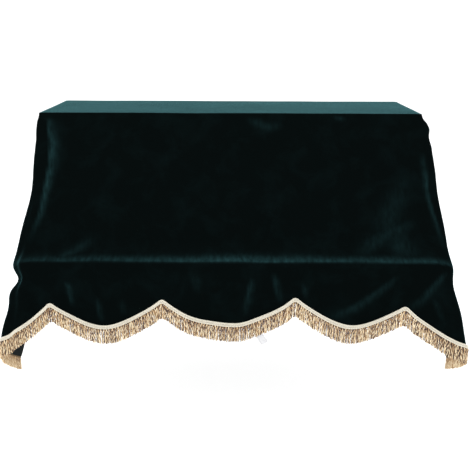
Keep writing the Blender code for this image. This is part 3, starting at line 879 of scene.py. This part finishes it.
tape_material, tree, shader, cut = start_material("woven_rayon_tape")
ribs = add_node(tree, "TexWave", {"Vector": cut, "Scale": stripe_scale(RIB_PITCH), "Distortion": 0.2},
                output="Fac")
tape_colour = add_node(tree, "Mix", {0: ribs, 6: linear("#bbb4a4"), 7: linear("#dad4c6")}, **COLOUR_MIX)
rib_bump = add_node(tree, "Bump", {"Height": ribs, "Strength": 0.5, "Distance": 0.0004})
fill(tree, shader, {"Base Color": tape_colour, "Normal": rib_bump, "Roughness": 0.6, "Sheen Weight": 0.2})

tape_heights = np.linspace(BRAID_HEIGHT - 0.001, 0.0005, TAPE_ROWS)
tape_piece = hem_ribbon("braid_tape", tape_heights, TAPE_LIFT, TAPE_THICKNESS, tape_material)
place(tape_piece, "braid_heading")
print("braid tape", BRAID_HEIGHT * 1000, "mm high")

# %% [markdown]
# Each edge cord is two plies twisted round each other. Two more cords cross in a zigzag between them.
# They are real tubes, because the braid's shadows are what makes it look woven.

# %% Braid cords
CORD_RADIUS = 0.0013
CORD_SIDES = 6
CORD_PITCH = 0.0095
CORD_RINGS = 8                 # rings in one turn of a cord
ZIGZAG_PITCH = 0.0085
ZIGZAG_SWING = 0.0042          # to each side of the braid's middle
HEM_END = 0.001                # cords stop this far short of the cloth's ends

high_strip, _ = hem_strip(BRAID_HEIGHT)
cord_steps = int(hem_run[-1] / CORD_PITCH * CORD_RINGS)
at = np.linspace(HEM_END, hem_run[-1] - HEM_END, cord_steps)
surface = TAPE_LIFT + TAPE_THICKNESS / 2


def on_braid(up, out_by):
    """A line over the tape, from its heights above the hem and its distances out of the cloth."""
    rise = along_hem((high_strip - hem_places) / BRAID_HEIGHT, at)
    return along_hem(hem_places, at) + rise * up[:, None] + along_hem(hem_out, at) * out_by[:, None]


def lay_cords(name, lines, tones):
    piece = tubes(name, np.stack(lines), CORD_RADIUS, CORD_SIDES, np.array(tones)[:, None], braid_yarn)
    place(piece, "braid_heading")
    return piece


edge_cords = []
for height in (CORD_RADIUS * 2, BRAID_HEIGHT - CORD_RADIUS * 2):
    for ply in (0.0, math.pi):
        turn = FULL_TURN * at / CORD_PITCH + ply
        edge_cords.append(on_braid(height + CORD_RADIUS * np.cos(turn),
                                   surface + CORD_RADIUS * (1.9 + np.sin(turn))))
edge_piece = lay_cords("braid_edge_cords", edge_cords, (0.5, 0.9, 0.5, 0.9))

zigzags = []
for start in (0.0, math.pi):
    turn = FULL_TURN * at / ZIGZAG_PITCH + start
    zigzags.append(on_braid(BRAID_HEIGHT / 2 + ZIGZAG_SWING * np.sin(turn),
                            surface + CORD_RADIUS * (1.2 + 0.8 * np.cos(turn))))
zigzag_piece = lay_cords("braid_zigzag", zigzags, (0.75, 1.0))
print("braid cords:", cord_steps, "rings each")

# %% [markdown]
# ## The fringe
# The strands are knitted into a narrow tan strip, the header, that is sewn under the braid. Its lower
# edge shows as dark dots between the crossing strands.

# %% Fringe header
HEADER_DROP = 0.0075
HEADER_TUCK = 0.003
HEADER_THICKNESS = 0.0006
HEADER_LIFT = CLOTH / 2 + 0.0006
KNIT_PER_METRE = 350.0

header_material, tree, shader, cut = start_material("knitted_tan_header")
knit = add_node(tree, "TexNoise", {"Vector": cut, "Scale": KNIT_PER_METRE, "Detail": 1.0})
knit_colour = add_node(tree, "Mix", {0: knit, 6: linear("#2a1b0c"), 7: linear("#80643c")}, **COLOUR_MIX)
fill(tree, shader, {"Base Color": knit_colour, "Roughness": 0.8})

header_heights = (HEADER_TUCK, 0.0, -HEADER_DROP / 2, -HEADER_DROP)
header_piece = hem_ribbon("fringe_header", header_heights, HEADER_LIFT, HEADER_THICKNESS, header_material)
place(header_piece, "tassel_fringe")
print("header hangs", HEADER_DROP * 1000, "mm below the hem")

# %% [markdown]
# Each strand of a bullion fringe is one yarn that goes down, turns in a small loop and comes back up,
# twisted round itself. Under the heading neighbouring strands cross, which makes a narrow lattice.
# Lengths, twists and sways differ a little from strand to strand, from seeded random numbers.

# %% Shape of a strand
STRAND_PITCH = 0.0054
YARN_RADIUS = 0.00120
YARN_SIDES = 6
SHORTER = (0.001, 0.006)       # strands end this far short of the full length
TWISTS = (0.016, 0.046)        # one turn of a strand's two halves round each other
SPREADS = (0.0010, 0.0017)     # from the middle of a strand to the middle of each half
SWAY = 0.0016                  # how far a strand's foot swings
TOP_SHADE = 0.50               # painted shade gathers where the strands are knitted in
PAIR_PULL = 0.0007             # strands hang in pairs, with a gap between pairs
LATTICE = 0.013                # height of the crossing zone under the braid
DOWN_POINTS = 22
LOOP_POINTS = 5
TUCKED = 0.002                 # each strand starts this far above the hem, under the braid
fringe_random = np.random.default_rng(5)


def strand_lines(at, depth_shift):
    """Centre lines of the strands that hang at the given distances along the hem."""
    count = len(at)
    top = along_hem(hem_places, at)
    out = level(along_hem(hem_out, at))
    across = np.cross(out, (0.0, 0.0, 1.0))
    length = FRINGE_LENGTH - fringe_random.uniform(*SHORTER, count)
    pitch = fringe_random.uniform(*TWISTS, count) * fringe_random.choice((-1.0, 1.0), count)
    phase = fringe_random.uniform(0.0, FULL_TURN, count)
    spread = fringe_random.uniform(*SPREADS, count)
    sway = fringe_random.normal(0.0, SWAY, (count, 2))
    lean = np.where(np.arange(count) % 2 == 0, 1.0, -1.0) * STRAND_PITCH * 0.5
    t = np.linspace(0.0, 1.0, DOWN_POINTS)
    down = t[None, :] * (length[:, None] + TUCKED) - TUCKED
    radius = spread[:, None] * (0.55 + 0.45 * smooth_step(down / LATTICE))
    turn = phase[:, None] + FULL_TURN * down / pitch[:, None]
    middle_x = lean[:, None] * (1.0 - smooth_step(down / LATTICE)) + sway[:, :1] * t[None, :] ** 1.5
    middle_y = depth_shift + np.abs(sway[:, 1:]) * t[None, :] ** 1.5
    first, second = (np.stack((middle_x + r * np.cos(turn), middle_y + r * np.sin(turn), -down), axis=2)
                     for r in (radius, -radius))
    swing = math.pi * (np.arange(LOOP_POINTS) + 1) / (LOOP_POINTS + 1)
    half = (first[:, -1] - second[:, -1]) / 2
    centre = (first[:, -1] + second[:, -1]) / 2
    loop = centre[:, None, :] + half[:, None, :] * np.cos(swing)[None, :, None]
    loop[:, :, 2] -= radius[:, -1:] * np.sin(swing)[None, :]
    local = np.concatenate((first, loop, second[:, ::-1]), axis=1)
    return (top[:, None, :] + local[:, :, :1] * across[:, None, :] + local[:, :, 1:2] * out[:, None, :]
            + local[:, :, 2:] * (0.0, 0.0, 1.0))


# %% [markdown]
# The strands hang in two layers: pale ones in front, and ones behind that fill the gaps, painted darker
# as their shade. The half of each strand that comes back up is painted darker as shade too. Tones
# are spread widely, since a fringe is read by the light and dark of its strands, not by its colour.

# %% Hang the strands
STRETCHES = ("left_end", "left_lobe", "middle_lobe", "right_lobe", "right_end")
LAYERS = (
    # share of a pitch along, distance out of the cloth, pull towards the next strand
    (0.25, 0.0050, PAIR_PULL),
    (0.75, 0.0032, 0.0),
)
PLACE_JITTER = 0.0005
END_MARGIN = 0.003
FRONT_TONE = (0.95, 0.14)      # mean and spread of the strands in front
BACK_TONE = (0.04, 0.10)       # and of those behind, in the shadow of the others
WRAPPED_TONE = (0.85, 0.10)    # the fringe round the corners catches the light evenly
WRAP_START = 0.88
WRAP_REACH = 0.08
UP_DARKER = (0.38, 0.92)       # the half that comes back up is darker by this much, in painted shade
SHADE_START = 0.45
SHADE_REACH = 0.40

peaks = [row[1] for row in HEM if row[0].endswith("peak")]
ends = [-SIDE_EDGE] + peaks + [SIDE_EDGE]
for name, u_from, u_to in zip(STRETCHES, ends[:-1], ends[1:]):
    run_from, run_to = np.interp((u_from, u_to), hem_u, hem_run)
    count = int((run_to - run_from) / STRAND_PITCH)
    layers = []
    for shift, depth, pull in LAYERS:
        at = run_from + (np.arange(count) + shift) * (run_to - run_from) / count
        at += pull * np.where(np.arange(count) % 2 == 0, 1.0, -1.0)
        at += fringe_random.normal(0.0, PLACE_JITTER, count)
        layers.append(strand_lines(np.clip(at, END_MARGIN, hem_run[-1] - END_MARGIN), depth))
    lines = np.concatenate(layers)
    from_middle = np.tile(np.abs(np.interp(at, hem_run, hem_u)), 2)
    wrapped = smooth_step((from_middle - WRAP_START) / WRAP_REACH)
    down_tone = np.concatenate([fringe_random.normal(*tone, count) for tone in (FRONT_TONE, BACK_TONE)])
    down_tone = np.maximum(down_tone, wrapped * fringe_random.normal(*WRAPPED_TONE, 2 * count))
    up_tone = down_tone - fringe_random.uniform(*UP_DARKER, 2 * count) * (1.0 - 0.5 * wrapped)
    half = DOWN_POINTS + LOOP_POINTS // 2
    tones = np.repeat(np.stack((down_tone, up_tone), axis=1), (half, lines.shape[1] - half), axis=1)
    from_foot = np.abs(np.linspace(-1.0, 1.0, lines.shape[1]))[None, :]
    shade = TOP_SHADE * fringe_random.uniform(0.0, 1.0, (2 * count, 1))
    tones = np.clip(tones - shade * smooth_step((from_foot - SHADE_START) / SHADE_REACH), 0.0, 1.0)
    piece = tubes("fringe_" + name, lines, YARN_RADIUS, YARN_SIDES, tones, fringe_yarn)
    place(piece, "tassel_fringe")
    print(piece.name, len(lines), "strands")

# %% [markdown]
# ## The label
# A small white satin ribbon is sewn inside the hem and peeps out under the fringe. It is left blank.

# %% Label
LABEL_U = 0.075
LABEL_WIDTH = 0.027
LABEL_LENGTH = 0.120
LABEL_THICKNESS = 0.0006
LABEL_SEAM = 0.010
LABEL_TILT = 30.0
LABEL_GAP = CLOTH + 0.0016     # behind the middle of the cloth
LABEL_CURL = 0.9
LABEL_CUP = 8.0
LABEL_CELLS = (9, 30)
FLOAT_PITCH = 0.001208         # satin's threads are too fine to show; drawn many times coarser

satin, tree, shader, cut = start_material("white_satin_ribbon")
floats = add_node(tree, "TexWave", {"Vector": cut, "Scale": stripe_scale(FLOAT_PITCH), "Distortion": 0.6},
                  output="Fac")
satin_colour = add_node(tree, "Mix", {0: floats, 6: linear("#b4b4b6"), 7: linear("#c6c6c8")}, **COLOUR_MIX)
float_bump = add_node(tree, "Bump", {"Height": floats, "Strength": 0.2, "Distance": 0.0002})
fill(tree, shader, {"Base Color": satin_colour, "Normal": float_bump, "Roughness": 0.35})

label_u = np.array([LABEL_U])
label_top = drape(label_u, hem_v(label_u))[0][0]
tilt = math.radians(LABEL_TILT)
across = np.linspace(-0.5, 0.5, LABEL_CELLS[0])[:, None] * LABEL_WIDTH
along = np.linspace(-LABEL_SEAM, LABEL_LENGTH - LABEL_SEAM, LABEL_CELLS[1])[None, :]
back = LABEL_GAP + LABEL_CURL * (along + LABEL_SEAM) ** 2 + LABEL_CUP * across ** 2
label_places = label_top + np.stack((along * math.sin(tilt) + across * math.cos(tilt), back,
                                     across * math.sin(tilt) - along * math.cos(tilt)), axis=-1)
label_flat = np.stack(np.broadcast_arrays(across, along), axis=-1)
label_piece = grid_mesh("blank_label", label_places, label_flat, [satin])
thicken(label_piece, LABEL_THICKNESS)
place(label_piece, "care_label")
print("label", LABEL_WIDTH, "x", LABEL_LENGTH, "m")

# %% [markdown]
# The draped velvet's name is printed.

# %% Name the velvet
print("declared:", velvet_piece.name)

# %% [markdown]
# ## Floor and light
# A pale floor and a pale sky give the even white surroundings of a catalogue picture. A wide soft
# light overhead makes the lid shine, and two weaker ones in front show the fringe.

# %% Stage
FLOOR_Z = -1.22
FLOOR_SIZE = 60.0
SKY_STRENGTH = 1.5
bpy.ops.mesh.primitive_plane_add(size=FLOOR_SIZE, location=(0.0, 0.0, FLOOR_Z))
floor = bpy.context.object
floor.name = "pale_floor"
floor_material, tree, shader, _ = start_material("matt_white_floor")
fill(tree, shader, {"Base Color": linear("#f4f4f4"), "Roughness": 0.9, "Specular IOR Level": 0.1})
floor.data.materials.append(floor_material)

world = bpy.data.worlds.new("pale_sky")
bpy.context.scene.world = world
world.use_nodes = True
sky = world.node_tree.nodes["Background"]
fill(world.node_tree, sky, {"Color": (1.0, 1.0, 1.0, 1.0), "Strength": SKY_STRENGTH})

LIGHTS = (
    # light         place                 aims at               size   watts
    ("overhead",    (0.0, 0.4, 2.2),      (0.0, 0.0, 0.0),      2.6,   60.0),
    ("front_left",  (-2.6, -3.4, 1.4),    (0.0, -0.4, -0.5),    1.8,   40.0),
    ("front_right", (2.6, -3.4, 1.4),     (0.0, -0.4, -0.5),    1.8,   30.0),
)
for name, spot, target, size, watts in LIGHTS:
    light_data = bpy.data.lights.new(name, "AREA")
    light_data.size = size
    light_data.energy = watts
    light = add_object(name, light_data)
    light.location = spot
    aim = np.array(target) - np.array(spot)
    pitch = math.atan2(math.hypot(aim[0], aim[1]), -aim[2])
    light.rotation_euler = (pitch, 0.0, math.atan2(-aim[0], aim[1]))
print(len(LIGHTS), "lights, and a floor at", FLOOR_Z, "m")
